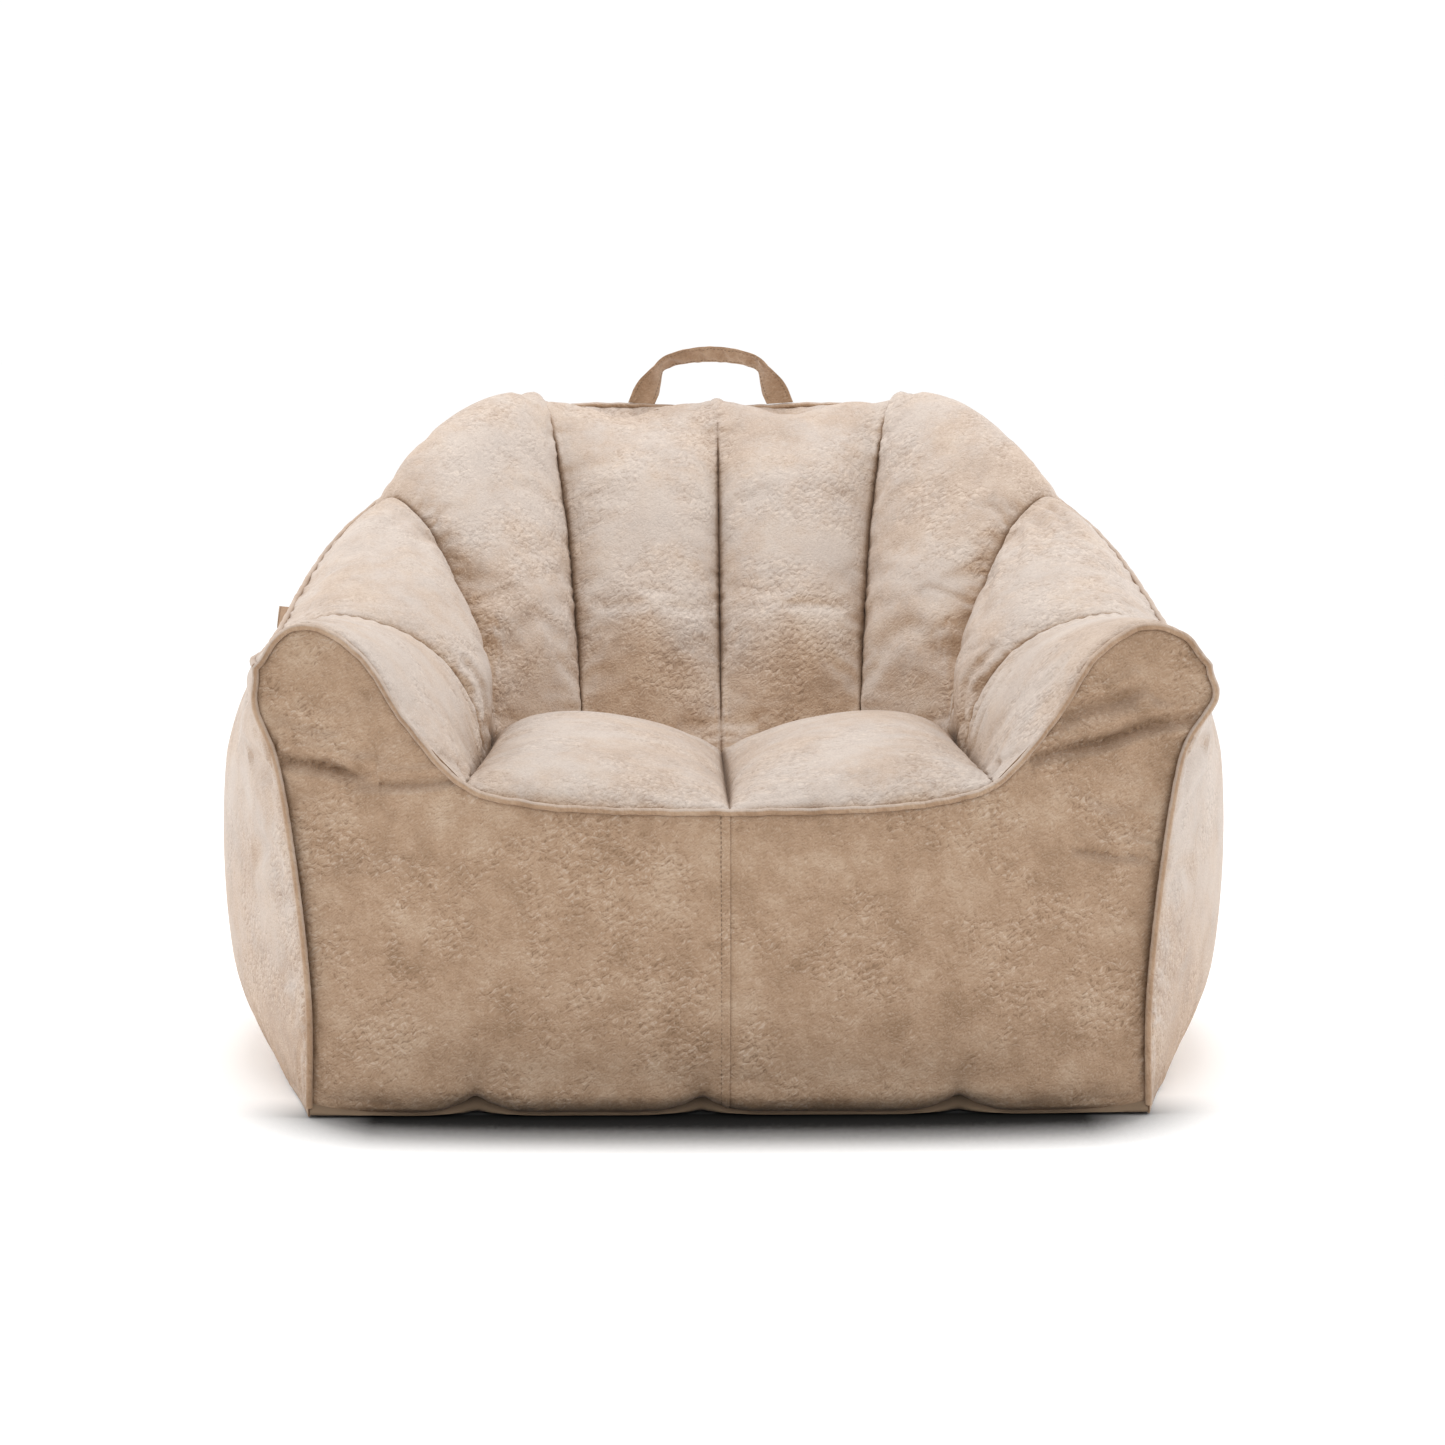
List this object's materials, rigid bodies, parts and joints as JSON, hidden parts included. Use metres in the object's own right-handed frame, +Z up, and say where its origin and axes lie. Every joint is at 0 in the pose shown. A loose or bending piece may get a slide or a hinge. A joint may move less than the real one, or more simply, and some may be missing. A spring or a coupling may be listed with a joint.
{
  "type": "bean bag chair",
  "caption": "Bean bag lounge chair: puffed back channels and arms curve round a two-pad seat, with a carrying handle, piping and a zipped base.",
  "frame": {"origin": "on the floor, at the middle of the chair's width and depth", "axes": "+Z up, the chair faces -Y, +X towards the right arm as seen from the front"},
  "size_m": [1.0218, 0.8209, 0.7053],
  "materials": {
    "cover_fabric": "mottled suede-look cloth, matt with a soft sheen",
    "piping": "cord covered in the same suede-look cloth",
    "bead_bag": "plain woven lining",
    "base_cloth": "coarse plain cloth",
    "label": "plain folded tab, matt",
    "zip_tape": "woven tape",
    "zip_coil": "nylon coil",
    "zip_metal": "dull metal"
  },
  "bodies": {
    "body": {"back_channel_panel_left": "cover_fabric", "back_channel_panel_right": "cover_fabric", "shoulder_channel_panel_left": "cover_fabric", "shoulder_channel_panel_right": "cover_fabric", "wing_channel_panel_left": "cover_fabric", "wing_channel_panel_right": "cover_fabric", "arm_channel_panel_left": "cover_fabric", "arm_channel_panel_right": "cover_fabric", "front_panel_left": "cover_fabric", "front_panel_right": "cover_fabric", "seat_panel_left": "cover_fabric", "seat_panel_right": "cover_fabric", "back_panel_left": "cover_fabric", "back_panel_right": "cover_fabric", "side_panel_left": "cover_fabric", "side_panel_right": "cover_fabric", "back_bead_bag_left": "bead_bag", "back_bead_bag_right": "bead_bag", "shoulder_bead_bag_left": "bead_bag", "shoulder_bead_bag_right": "bead_bag", "wing_bead_bag_left": "bead_bag", "wing_bead_bag_right": "bead_bag", "arm_bead_bag_left": "bead_bag", "arm_bead_bag_right": "bead_bag", "seat_bead_bag_left": "bead_bag", "seat_bead_bag_right": "bead_bag", "base_panel_front": "base_cloth", "base_panel_rear": "base_cloth", "front_piping": "piping", "rim_piping": "piping", "side_label": "label", "zip_tape_front": "zip_tape", "zip_tape_rear": "zip_tape", "zip_chain": "zip_coil", "zip_stop_closed": "zip_metal", "zip_stop_open": "zip_metal"},
    "handle": {"handle_strap": "cover_fabric"},
    "slider": {"zip_slider": "zip_metal"}
  },
  "joints": [
    {"name": "handle_flop", "type": "hinge", "parent": "body", "child": "handle", "pos_m": [-0.0065, 0.3736, 0.6368], "axis": [1, 0, 0], "range_deg": [-110, 30], "stiffness_Nm_per_rad": 0.05},
    {"name": "zip_slide", "type": "slide", "parent": "body", "child": "slider", "axis": [1, 0, 0], "range_m": [-0.54, 0]}
  ]
}
